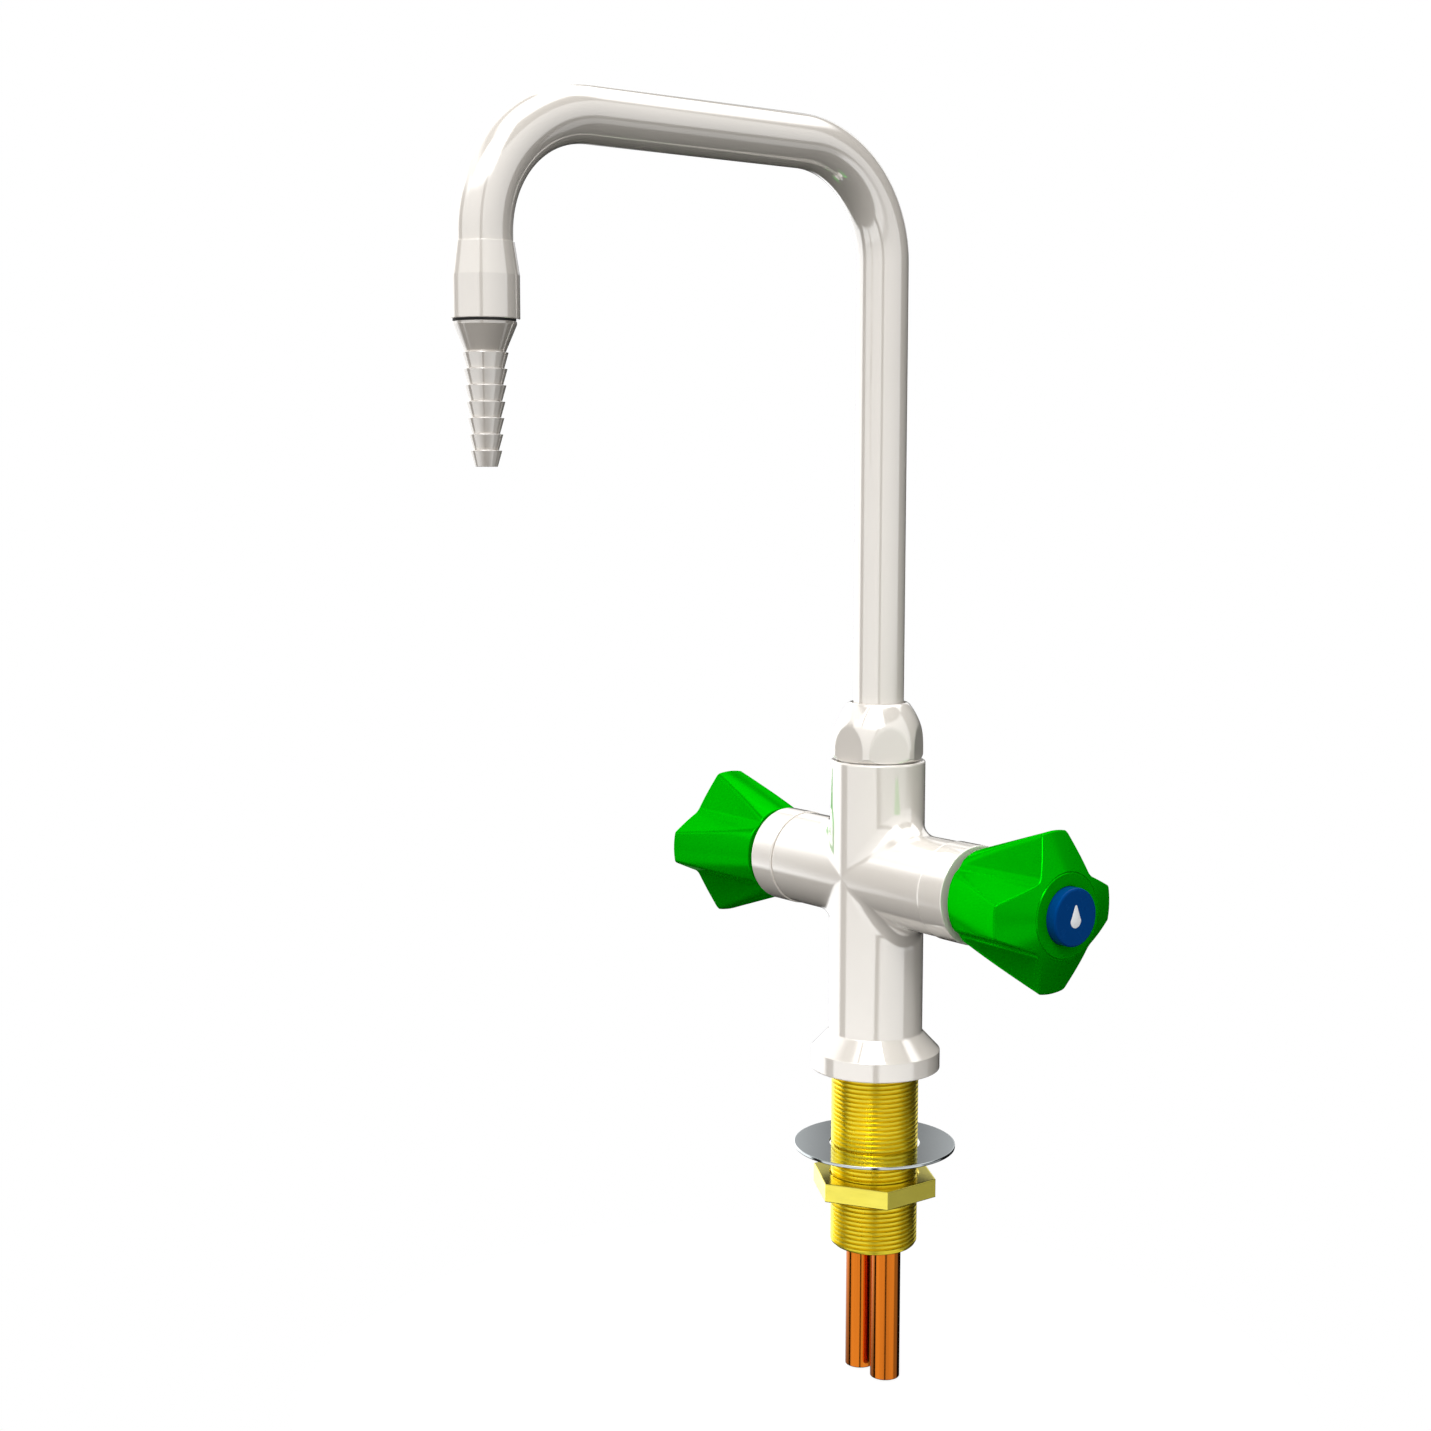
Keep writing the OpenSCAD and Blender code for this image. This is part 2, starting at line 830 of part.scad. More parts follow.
module handle(cold) {
  band = 0.6;
  span = disc_x - rim_x;
  tilt = atan((valley_front - valley_rear) / span);
  half_width = lobe_r * sin(lobe_half);
  valley_side = valley_front / sqrt(2);
  wall_turn = 45 + atan((valley_side - half_width) / (lobe_r * cos(lobe_half) - valley_side));
  deep = 16;
  past = 10;
  hub_back = 1.5;
  color(c_green)
    side(cold)
      on_barrel()
        difference() {
          rotate_extrude()
            polygon([
              [0, rim_x],
              [rim_r - 0.4, rim_x],
              [rim_r, rim_x + 0.4],
              [lobe_r - 0.25, lobe_x - band],
              [lobe_r, lobe_x],
              [lobe_r - 0.5, lobe_x + band],
              [disc_r, disc_x],
              [0, disc_x]
            ]);
          for (i = [0 : 3])
            rotate([0, 0, 45 + 90 * i])
              translate([valley_rear, 0, rim_x])
                rotate([0, tilt, 0])
                  translate([0, 0, -past])
                    linear_extrude(height = span + 2 * past)
                      polygon([[0, 0], [deep, -deep * tan(wall_turn)], [deep, deep * tan(wall_turn)]]);
          pipe(cavity_r, hub_r, rim_x - 1, cavity_end);
          rod(hub_r + eps, rim_x - 1, rim_x + hub_back);
          translate([0, 0, rim_x - 1])
            linear_extrude(height = drive_end - rim_x + 1)
              square(square + 2 * fixed_fit, center = true);
          rod(tap_r + fixed_fit, drive_end - 1, screw_seat + 1);
          rod(screw_head_r + 0.6, screw_seat, disc_x + 1);
          rod(index_r + fixed_fit, pocket_x, disc_x + 1);
        }
}

module handle_screw(cold) {
  slot = 0.9;
  reach_in = 8;
  neck = 0.5;
  color(c_steel)
    side(cold)
      on_barrel()
        difference() {
          union() {
            rod(tap_r, spindle_end - reach_in, screw_seat + neck);
            rod(screw_head_r, screw_seat + 0.02, screw_seat + screw_head_h);
          }
          translate([-slot / 2, -screw_head_r - 1, screw_seat + screw_head_h - 1])
            cube([slot, 2 * screw_head_r + 2, 2]);
        }
}

module index(cold) {
  edge = 0.6;
  color(cold ? c_blue : c_red)
    side(cold)
      on_barrel()
        rotate_extrude()
          polygon([
            [0, pocket_x + 0.05],
            [index_r, pocket_x + 0.05],
            [index_r, index_x - edge],
            [index_r - 0.3 * edge, index_x - 0.3 * edge],
            [index_r - edge, index_x],
            [0, index_x]
          ]);
}

body();
base_seal();
shank();
bench_washer();
backnut();
tail(true);  // cold_tail
tail(false);  // hot_tail
tail_ferrule(true);  // cold_tail_ferrule
tail_ferrule(false);  // hot_tail_ferrule
spout_nut();
slip_ring();
spout_ferrule();
spout_seals();
spout_tube();
outlet_socket();
nozzle_seal();
hose_nozzle();
bonnet(true);  // cold_bonnet
gasket(true);  // cold_gasket
collar(true);  // cold_collar
spindle(true);  // cold_spindle
spindle_seals(true);  // cold_spindle_seals
circlip(true);  // cold_circlip
piston(true);  // cold_piston
seat_washer(true);  // cold_seat_washer
washer_screw(true);  // cold_washer_screw
handle(true);  // cold_handle
handle_screw(true);  // cold_handle_screw
index(true);  // cold_index
bonnet(false);  // hot_bonnet
gasket(false);  // hot_gasket
collar(false);  // hot_collar
spindle(false);  // hot_spindle
spindle_seals(false);  // hot_spindle_seals
circlip(false);  // hot_circlip
piston(false);  // hot_piston
seat_washer(false);  // hot_seat_washer
washer_screw(false);  // hot_washer_screw
handle(false);  // hot_handle
handle_screw(false);  // hot_handle_screw
index(false);  // hot_index
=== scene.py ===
"""Looks of a bench-mounted laboratory gooseneck tap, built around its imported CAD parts.

Metres, +Z up, origin at the centre of the flange underside, spout along -Y, cold barrel along +X.
The tap's shapes are written in millimetres and scaled when the mesh is made.
"""

import math

import bmesh
import bpy
from mathutils import Matrix, Vector

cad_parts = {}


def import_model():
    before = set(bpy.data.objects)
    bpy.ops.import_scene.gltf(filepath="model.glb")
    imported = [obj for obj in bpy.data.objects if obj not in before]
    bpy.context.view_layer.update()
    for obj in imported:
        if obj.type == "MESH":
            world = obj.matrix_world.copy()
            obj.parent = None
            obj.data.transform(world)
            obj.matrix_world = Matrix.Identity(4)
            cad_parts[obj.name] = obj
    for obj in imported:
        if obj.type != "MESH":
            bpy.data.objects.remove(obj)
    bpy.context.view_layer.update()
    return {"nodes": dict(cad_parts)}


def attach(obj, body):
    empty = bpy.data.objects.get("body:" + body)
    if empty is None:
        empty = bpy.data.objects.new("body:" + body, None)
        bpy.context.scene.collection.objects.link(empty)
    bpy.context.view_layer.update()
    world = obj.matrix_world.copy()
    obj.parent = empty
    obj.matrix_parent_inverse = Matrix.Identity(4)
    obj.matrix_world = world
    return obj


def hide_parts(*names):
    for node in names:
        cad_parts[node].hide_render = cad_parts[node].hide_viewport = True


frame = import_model()

MM = 0.001
TAU = 2 * math.pi

# Main sizes of the tap, in millimetres. Column and barrels have one radius.
BARREL_Z = 63.0
BARREL_END = 34.8
COLUMN_R = 15.0
COLUMN_TOP = 99.6
CROTCH_R = 8.0
NUT_TOP = 118.0
TUBE_R = 7.95
TUBE_BORE = 6.75
REACH = 143.7
RUN_Z = 288.0
BEND_R = 33.8
TUBE_END_Z = 243.5
SOCKET_LOW_Z = 231.0
SEAL_LOW_Z = 230.4
SHANK_R = 14.0
SHANK_LOW = -58.7
SHANK_TOP = 10.3
PITCH = 1.5
TAIL_R = 4.75
TAIL_BORE = 3.85
TAIL_X = 6.1
TAIL_LOW = -102.0
BUTTON_WELL_X = 78.8
BUTTON_TOP_X = 85.38

# A small step that keeps neighbouring faces apart, lifts the drops and crowns the buttons.
FIT = 0.02


# Shapes.


def soften(profile, steps=4, hold=0.12):
    """A polyline of (x, y) or (x, y, radius) points with its corners rounded.

    Each round is followed and led by a point a little way along the straight, which keeps flat faces flat.
    """
    points = [Vector(p[:2]) for p in profile]
    radii = [p[2] if len(p) > 2 else 0.0 for p in profile]
    out = []
    for i, corner in enumerate(points):
        if radii[i] <= 0 or i in (0, len(points) - 1):
            out.append(corner)
            continue
        before, after = points[i - 1] - corner, points[i + 1] - corner
        room = 0.45 * min(before.length, after.length)
        u, v = before.normalized(), after.normalized()
        half = u.angle(v) / 2
        cut = min(radii[i] / math.tan(half), room)
        start, end = corner + u * cut, corner + v * cut
        if before.length - cut > 3 * hold:
            out.append(start + u * hold)
        for k in range(steps + 1):
            t = k / steps
            out.append(start * (1 - t) ** 2 + corner * 2 * t * (1 - t) + end * t * t)
        if after.length - cut > 3 * hold:
            out.append(end + v * hold)
    return out


def soft_min(a, b, k):
    """The smaller of a and b, rounded where they are within k of each other."""
    h = max(k - abs(a - b), 0.0) / k
    return min(a, b) - h * h * k / 4


def soft_max(a, b, k):
    """The larger of a and b, rounded in the same way."""
    return -soft_min(-a, -b, k)


def make(name, points, faces, material, sharp=38.0):
    """An object from points in millimetres, with doubles merged, normals outward and sharp edges marked."""
    mesh = bpy.data.meshes.new(name)
    bm = bmesh.new()
    verts = [bm.verts.new([c * MM for c in p]) for p in points]
    for f in faces:
        corners = [verts[i] for i in dict.fromkeys(f)]
        if len(corners) > 2:
            try:
                bm.faces.new(corners)
            except ValueError:
                pass
    bmesh.ops.remove_doubles(bm, verts=bm.verts, dist=2e-7)
    bmesh.ops.dissolve_degenerate(bm, edges=bm.edges, dist=1e-7)
    bmesh.ops.recalc_face_normals(bm, faces=bm.faces)
    for f in bm.faces:
        f.smooth = True
    for e in bm.edges:
        e.smooth = len(e.link_faces) == 2 and e.calc_face_angle(0) < math.radians(sharp)
    bm.to_mesh(mesh)
    bm.free()
    mesh.materials.append(material)
    obj = bpy.data.objects.new(name, mesh)
    bpy.context.scene.collection.objects.link(obj)
    return obj


def loft(name, rings, material, loop=False, sharp=38.0):
    """Skins a row of rings that all have the same number of points."""
    n = len(rings[0])
    points = [p for ring in rings for p in ring]
    faces = []
    last = len(rings) if loop else len(rings) - 1
    for i in range(last):
        a, b = i * n, (i + 1) % len(rings) * n
        faces += [(a + j, a + (j + 1) % n, b + (j + 1) % n, b + j) for j in range(n)]
    return make(name, points, faces, material, sharp)


def upright(x0=0.0, y0=0.0):
    """Places (radius, angle, height) about a vertical axis."""
    return lambda r, a, h: (x0 + r * math.cos(a), y0 + r * math.sin(a), h)


def on_barrel(side):
    """Places (radius, angle, distance) about the barrel axis, outward on the given side."""
    return lambda r, a, h: (side * h, r * math.cos(a), BARREL_Z + r * math.sin(a))


def lathe(name, profile, place, material, n=128, loop=False, sharp=38.0):
    """Turns a profile of (radius, height) points. A loop is a closed section, such as that of a ring."""
    rings = [[place(r, TAU * j / n, h) for j in range(n)] for r, h in profile]
    return loft(name, rings, material, loop, sharp)


def done(obj, body, slot, *nodes):
    """Puts a finished piece on its body, in the place of its CAD nodes."""
    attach(obj, body)
    if nodes:
        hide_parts(*nodes)
    return obj


# Materials.


class Shader:
    """A Principled material with a few node helpers."""

    def __init__(self, name, color, roughness, metallic=0.0, **sockets):
        self.material = bpy.data.materials.new(name)
        self.material.use_nodes = True
        self.tree = self.material.node_tree
        self.bsdf = self.tree.nodes["Principled BSDF"]
        self.color = (*color, 1.0)
        self.bsdf.inputs["Base Color"].default_value = self.color
        self.bsdf.inputs["Roughness"].default_value = roughness
        self.bsdf.inputs["Metallic"].default_value = metallic
        for key, value in sockets.items():
            self.bsdf.inputs[key.replace("_", " ")].default_value = value
        self.coords = self.node("ShaderNodeTexCoord").outputs["Object"]
        self.material.diffuse_color = self.color

    def node(self, kind, **settings):
        n = self.tree.nodes.new(kind)
        for key, value in settings.items():
            setattr(n, key, value)
        return n

    def link(self, a, b):
        self.tree.links.new(a, b)

    def noise(self, scale, detail=3.0, stretch=(1, 1, 1), roughness=0.55):
        m = self.node("ShaderNodeMapping")
        m.inputs["Scale"].default_value = stretch
        n = self.node("ShaderNodeTexNoise")
        n.inputs["Scale"].default_value = scale
        n.inputs["Detail"].default_value = detail
        n.inputs["Roughness"].default_value = roughness
        self.link(self.coords, m.inputs["Vector"])
        self.link(m.outputs["Vector"], n.inputs["Vector"])
        return n.outputs["Fac"]

    def span(self, value, low, high, from_low=0.3, from_high=0.7):
        m = self.node("ShaderNodeMapRange")
        for key, x in zip(("From Min", "From Max", "To Min", "To Max"), (from_low, from_high, low, high)):
            m.inputs[key].default_value = x
        self.link(value, m.inputs["Value"])
        return m.outputs["Result"]

    def tint(self, value, other, amount):
        """Varies the colour towards another one with a value from 0 to 1."""
        mix = self.node("ShaderNodeMix", data_type="RGBA")
        mix.inputs[6].default_value = self.color
        mix.inputs[7].default_value = (*other, 1.0)
        self.link(self.span(value, 0.0, amount), mix.inputs[0])
        self.link(mix.outputs[2], self.bsdf.inputs["Base Color"])
        return self

    def rough(self, value, low, high):
        self.link(self.span(value, low, high), self.bsdf.inputs["Roughness"])
        return self

    def bump(self, value, strength, distance):
        b = self.node("ShaderNodeBump")
        b.inputs["Strength"].default_value = strength
        b.inputs["Distance"].default_value = distance
        self.link(value, b.inputs["Height"])
        self.link(b.outputs["Normal"], self.bsdf.inputs["Normal"])
        return self


def coat(name, color, shade):
    """Thick gloss powder coat: a trace of orange peel and a little unevenness of gloss."""
    s = Shader(name, color, 0.05, IOR=2.4, Coat_Weight=1.0, Coat_IOR=2.1, Coat_Roughness=0.03)
    s.tint(s.noise(38, 2), shade, 0.5)
    s.rough(s.noise(160, 3), 0.04, 0.07)
    s.bump(s.noise(300, 2), 0.012, 0.0004)
    return s.material


def plastic(name, color, shade, roughness=0.22, tint=(1, 1, 1), gloss=0.25, metallic=0.0):
    """Moulded gloss plastic: slight sink marks, fine grain and faint flow shading.

    A little metal tints its gloss.
    """
    s = Shader(name, color, roughness, metallic, Specular_Tint=(*tint, 1), Specular_IOR_Level=gloss)
    s.tint(s.noise(70, 4), shade, 0.6)
    s.rough(s.noise(240, 4), roughness - 0.02, roughness + 0.03)
    s.bump(s.noise(1500, 2), 0.008, 0.0003)
    return s.material


def metal(
    name, color, shade, roughness, stretch=(1, 1, 30), scale=120, bump=0.05, stain_and_reflection_stretch=(1, 1, 1), stain_and_reflection_scale=55,
):
    """Bright metal with turning or drawing marks along one direction, small stains and varied polish.

    Where the stain noise is stretched long, its darker colour paints streaks of reflection, as on the copper.
    """
    s = Shader(name, color, roughness, 1.0)
    # Tint towards the darker colour: stains, and on the copper painted reflections in long dark streaks
    s.tint(s.noise(stain_and_reflection_scale, 4, stain_and_reflection_stretch), shade, 0.7)
    marks = s.noise(scale, 4, stretch, 0.65)
    s.rough(marks, roughness * 0.75, roughness * 1.35)
    s.bump(marks, bump, 0.0002)
    return s.material


def rubber(name, color):
    """Dull black rubber with a fine grain."""
    s = Shader(name, color, 0.62)
    s.tint(s.noise(300, 4), [min(1, c * 2.2 + 0.01) for c in color], 0.6)
    s.rough(s.noise(500, 3), 0.55, 0.75)
    s.bump(s.noise(2200, 3), 0.15, 0.0003)
    return s.material


WHITE = coat("white_coat", (0.86, 0.805, 0.735), (0.82, 0.765, 0.695))
NOZZLE_WHITE = coat("nozzle_coat", (0.67, 0.62, 0.56), (0.61, 0.565, 0.51))
GREEN = plastic("green_plastic", (0.0, 0.43, 0.001), (0.0, 0.38, 0.001), 0.19, (0, 1, 0.02), 0.0, 0.42)
BLUE = plastic("blue_plastic", (0.0, 0.045, 0.20), (0.0, 0.038, 0.17), 0.26, (0, 0.35, 1), 0.15)
RED = plastic("red_plastic", (0.50, 0.012, 0.01), (0.42, 0.01, 0.008), 0.28, (1, 0.25, 0.2))
MARK_WHITE = plastic("mark_white", (0.85, 0.86, 0.88), (0.80, 0.81, 0.84), 0.35)
BRASS = metal("brass", (0.80, 0.56, 0.16), (0.66, 0.43, 0.10), 0.22)
THREAD_BRASS = metal("thread_brass", (0.97, 0.80, 0.055), (0.95, 0.77, 0.045), 0.3, (1, 1, 0.2), 90, 0.0)
NUT_BRASS = metal("nut_brass", (0.97, 0.86, 0.14), (0.95, 0.82, 0.11), 0.2, (1, 1, 3), 90, 0.004)
# Copper: its darker colour, stretched into long vertical streaks, is painted reflection of dark studio bands
COPPER = metal(
    "copper", (0.84, 0.225, 0.018), (0.45, 0.11, 0.01), 0.12, (1, 1, 0.01), 420, 0.004, (1, 1, 0.012), 420,
)
STEEL = metal("steel", (0.60, 0.645, 0.66), (0.57, 0.615, 0.63), 0.1, (1, 1, 1), 60, 0.001)
RUBBER = rubber("rubber", (0.018, 0.018, 0.018))
NYLON = plastic("nylon", (0.72, 0.69, 0.58), (0.66, 0.62, 0.50), 0.4)


# Cast body.


def cast_body():
    """The crossed column and barrels.

    Every vertex row has one angle t. At that angle a ball of radius CROTCH_R that rolls in a corner of the
    cross touches the column and the barrel, and its arc joins the two.
    """
    half, arc = 60, 12
    mixing_r, mixing_low = 6.5, 73.0
    ferrule_bore, ferrule_low = 10.25, 84.5
    neck_r, neck_top = 12.0, 107.5
    shank_bore, shank_seat = 14.05, 10.5
    groove_in, groove_out, groove_depth = 15.6, 18.6, 1.8
    flange_r, flange_band, flange_cone, flange_edge = 20.7, 6.0, 12.0, 0.35
    chamber_r, chamber_in = 8.5, 16.0
    head_bore, head_in = 11.05, 24.0

    # The last point of each outline only leads the round before it
    top = soften([
        (0, mixing_low), (mixing_r, mixing_low), (mixing_r, ferrule_low), (ferrule_bore, ferrule_low),
        (ferrule_bore, neck_top), (neck_r, neck_top, 0.5), (neck_r, COLUMN_TOP),
        (COLUMN_R, COLUMN_TOP, 0.7), (COLUMN_R, COLUMN_TOP - 9.6),
    ])[:-1]
    foot = soften([
        (0, shank_seat), (shank_bore, shank_seat), (shank_bore, 0), (groove_in, 0), (groove_in, groove_depth),
        (groove_out, groove_depth), (groove_out, 0), (flange_r, 0, flange_edge),
        (flange_r, flange_band, flange_edge), (COLUMN_R, flange_cone, 1.0), (COLUMN_R, flange_cone + 8),
    ])[:-1]
    barrel = soften([
        (0, chamber_in), (chamber_r, chamber_in), (chamber_r, head_in), (head_bore, head_in),
        (head_bore, BARREL_END), (COLUMN_R, BARREL_END, 0.4), (COLUMN_R, BARREL_END - 4.8),
    ])[:-1]
    points, faces = [], []
    width = max(len(top), len(foot)) + arc + 1 + len(barrel)
    for sx in (1, -1):
        for sz in (1, -1):
            start = len(points)
            ends = top if sz > 0 else foot
            ends = [ends[0]] * (width - arc - 1 - len(barrel) - len(ends)) + list(ends)
            for k in range(half + 1):
                t = math.pi * (k / half - 0.5)
                c, s = math.cos(t), math.sin(t)
                if abs(c) < 1e-9:
                    c = 0.0
                row = [(sx * r * c, r * s, h) for r, h in ends]
                ball = Vector((c, s, c)) * (COLUMN_R + CROTCH_R)
                a, b = Vector((-c, -s, 0)), Vector((0, -s, -c))
                turn = math.acos(max(-1.0, min(1.0, a.dot(b))))
                for i in range(arc + 1):
                    if turn < 1e-6:
                        d = a
                    else:
                        f = i / arc
                        d = (a * math.sin((1 - f) * turn) + b * math.sin(f * turn)) / math.sin(turn)
                    p = ball + d * CROTCH_R
                    row.append((sx * p.x, p.y, BARREL_Z + sz * p.z))
                row += [(sx * h, r * s, BARREL_Z + sz * r * c) for r, h in reversed(barrel)]
                points += row
            for k in range(half):
                for i in range(width - 1):
                    a = start + k * width + i
                    faces.append((a, a + 1, a + width + 1, a + width))
    return make("tap_body", points, faces, WHITE, 32)


done(cast_body(), "body", "white_gloss", "body")


# Spout.


def spout_line():
    """Points of the spout's centreline in the YZ plane, each with its direction."""
    bend_z = RUN_Z - BEND_R
    tube_low = 87.1
    line = [(0.0, z, 0.0) for z in (tube_low, NUT_TOP, 150.0, 200.0, 240.0)]
    steps = 28
    for k in range(steps + 1):
        a = math.pi / 2 * k / steps
        line.append((-BEND_R + BEND_R * math.cos(a), bend_z + BEND_R * math.sin(a), a))
    run = REACH - 2 * BEND_R
    line += [(-BEND_R - run * f, RUN_Z, math.pi / 2) for f in (0.25, 0.5, 0.75)]
    for k in range(steps + 1):
        a = math.pi / 2 * k / steps
        line.append((-BEND_R - run - BEND_R * math.sin(a), bend_z + BEND_R * math.cos(a), math.pi / 2 + a))
    line.append((-REACH, TUBE_END_Z, math.pi))
    return line


def spout_tube():
    """The tube's outer skin along the centreline, and its bore back again."""
    n = 96
    rings = []
    line = spout_line()
    for r, stations in ((TUBE_R, line), (TUBE_BORE, line[::-1])):
        for y, z, a in stations:
            out_y, out_z = math.cos(a), math.sin(a)
            rings.append([
                (r * math.sin(TAU * j / n),
                 y + r * math.cos(TAU * j / n) * out_y,
                 z + r * math.cos(TAU * j / n) * out_z)
                for j in range(n)
            ])
    return loft("gooseneck_tube", rings, WHITE, loop=True)


done(spout_tube(), "spout", "white_gloss", "spout_tube")


def socket_profile():
    """Section of the socket: the tube stands in it from above, the nozzle screws into it from below."""
    grip, tube_top, top_r = TUBE_R + 0.05, TUBE_END_Z + 7.9, 8.3
    mouth_r, taper_low = 9.65, 242.6
    thread_r, thread_top = 6.65, 242.0
    return soften([
        (grip, TUBE_END_Z), (grip, tube_top), (top_r, tube_top, 0.12), (mouth_r, taper_low, 3.0),
        (mouth_r, SOCKET_LOW_Z, 0.3), (thread_r, SOCKET_LOW_Z), (thread_r, thread_top),
        (TUBE_BORE, thread_top), (TUBE_BORE, TUBE_END_Z),
    ])


def seal_profile():
    """Section of the flat rubber washer between socket and nozzle."""
    inner, outer, top = 6.8, 8.55, SOCKET_LOW_Z - FIT
    return [(inner, SEAL_LOW_Z), (outer, SEAL_LOW_Z), (outer, top), (inner, top)]


done(
    lathe("outlet_sleeve", socket_profile(), upright(0, -REACH), WHITE, loop=True),
    "spout", "white_gloss", "outlet_socket",
)
done(
    lathe("outlet_gasket", seal_profile(), upright(0, -REACH), RUBBER, loop=True),
    "spout", "rubber", "nozzle_seal",
)


def nozzle_profile():
    """Section of the nozzle: thread, flange, cone and barbs, each barb a little smaller than the last."""
    thread_top, thread_r, chamfer, mouth_r = 241.0, 6.6, 0.5, 4.65
    flange_r, flange_top, flange_t = 8.75, SEAL_LOW_Z - FIT, 0.8
    cone_r, cone_end, bore = 5.6, 222.2, 2.0
    barbs, pitch, barb_r, step, drop = 7, 4.37, 6.4, 0.33, 1.25
    profile = [
        (mouth_r, thread_top), (thread_r - chamfer, thread_top), (thread_r, thread_top - chamfer),
        (thread_r, flange_top), (flange_r, flange_top, 0.2), (flange_r, flange_top - flange_t, 0.25),
        (cone_r, cone_end, 0.2),
    ]
    for i in range(barbs):
        crest = barb_r - step * i
        low = cone_end - pitch * (i + 1) + 0.02
        profile.append((crest, cone_end - pitch * i, 0.1))
        profile.append((crest - drop, low, 0.25 if i < barbs - 1 else 0.1))
    profile += [(bore, low), (bore, cone_end)]
    return soften(profile, 3, 0.06)


done(
    lathe("hose_tail", nozzle_profile(), upright(0, -REACH), NOZZLE_WHITE, 96, loop=True),
    "spout", "white_nozzle", "hose_nozzle",
)


def domed_nut():
    """A dome of revolution cut by six flats, with soft edges between them."""
    n, flat, turn, edge = 576, 13.2, math.radians(4), 0.22
    dome_z, dome_r, dome_h, dome_rows, nut_r = 103.3, 23.0, 14.2, 34, 14.65
    low, thread_r, thread_top = COLUMN_TOP + 0.3, 12.05, 107.7
    ring_r, ring_top, tube_hole = 11.5, 111.2, 8.25

    def dome(z):
        return nut_r - dome_r + math.sqrt(dome_r ** 2 - (z - dome_z) ** 2)

    outer = [
        (13.2, low), (13.35, low), (13.6, low + 0.08), (14.0, low + 0.4), (14.35, low + 0.85),
        (14.6, low + 1.25), (nut_r, low + 1.6),
    ]
    outer += [(dome(z), z) for z in [dome_z + dome_h * i / dome_rows for i in range(dome_rows + 1)]]
    outer += [(9.35, NUT_TOP - 0.2), (9.15, NUT_TOP - 0.05), (8.9, NUT_TOP)]
    inner = [
        (tube_hole, NUT_TOP), (tube_hole, ring_top), (ring_r, ring_top), (ring_r, thread_top),
        (thread_r, thread_top), (thread_r, low),
    ]
    rings = []
    for r, z in outer:
        ring = []
        for j in range(n):
            a = TAU * j / n
            d = (a + math.pi / 2 - turn + math.pi / 6) % (math.pi / 3) - math.pi / 6
            ring.append(upright()(soft_min(r, flat / math.cos(d), edge), a, z))
        rings.append(ring)
    rings += [[upright()(r, TAU * j / n, z) for j in range(n)] for r, z in inner]
    return loft("spout_cap_nut", rings, WHITE, loop=True, sharp=30)


done(domed_nut(), "body", "white_gloss", "spout_nut")


# Handles.


def handle(side, name):
    """Four-lobed knob. Its outline is a turned profile cut by four V-shaped valleys."""
    n = 480
    rim_x, disc_x, rim_r, lobe_r, lobe_x = 47.6, 82.1, 14.8, 24.3, 76.1
    valley_rear, valley_front, valley_round, ridge_round = 13.9, 14.8, 1.4, 0.9
    well_r, groove_r, back_r = 8.7, 12.8, 12.2
    head_r, head_x, screw_r, screw_x = 4.5, 68.0, 2.05, 64.5
    square_half, square_x, boss_r, boss_x = 3.15, 49.1, 7.0, 58.0
    lobe_half = math.radians(12.6)
    half_width = lobe_r * math.sin(lobe_half)
    side_r = valley_front / math.sqrt(2)
    wall = math.pi / 4 + math.atan((side_r - half_width) / (lobe_r * math.cos(lobe_half) - side_r))
    place = on_barrel(side)

    def outline(r, x, a):
        d = (a + math.pi / 4) % (math.pi / 2) - math.pi / 4
        d = math.pi / 4 - abs(d)
        v = valley_rear + (valley_front - valley_rear) * (x - rim_x) / (disc_x - rim_x)
        near = v * math.sin(wall) / math.sin(wall - d)
        far = v * math.sin(wall) / math.sin(wall + d)
        return soft_min(r, soft_max(near, far, valley_round), ridge_round)

    outer = soften([
        (back_r, rim_x), (rim_r, rim_x, 0.5), (lobe_r - 0.25, lobe_x - 0.6, 0.3), (lobe_r, lobe_x, 0.3),
        (lobe_r - 0.5, lobe_x + 0.6, 0.5), (groove_r + 0.2, disc_x - 0.12), (groove_r, disc_x - 0.45),
        (groove_r - 0.35, disc_x, 0.1), (well_r, disc_x, 0.2), (well_r, BUTTON_WELL_X),
    ], 4, 0.3)
    front_x, coarse, fine, plain_r = 75.0, 1.2, 0.3, 12.4
    rows = []
    for p, q in zip(outer, outer[1:]):
        length = (q - p).length
        row = coarse if p.y < front_x else fine
        cuts = max(1, math.ceil(length / row)) if min(p.x, q.x) > plain_r else 1
        rows += [p.lerp(q, i / cuts) for i in range(cuts)]
    rows.append(outer[-1])
    rings = [[place(outline(r, x, TAU * j / n), TAU * j / n, x) for j in range(n)] for r, x in rows]
    bore = [(head_r, BUTTON_WELL_X), (head_r, head_x), (screw_r, head_x), (screw_r, screw_x)]
    rings += [[place(r, TAU * j / n, x) for j in range(n)] for r, x in bore]
    for x in (screw_x, square_x):
        rings.append([
            place(square_half / max(abs(math.cos(TAU * j / n)), abs(math.sin(TAU * j / n))), TAU * j / n, x)
            for j in range(n)
        ])
    back = [(boss_r, square_x), (boss_r, boss_x), (back_r, boss_x), (back_r, rim_x + 0.3)]
    rings += [[place(r, TAU * j / n, x) for j in range(n)] for r, x in back]
    return loft(name, rings, GREEN, loop=True, sharp=34)


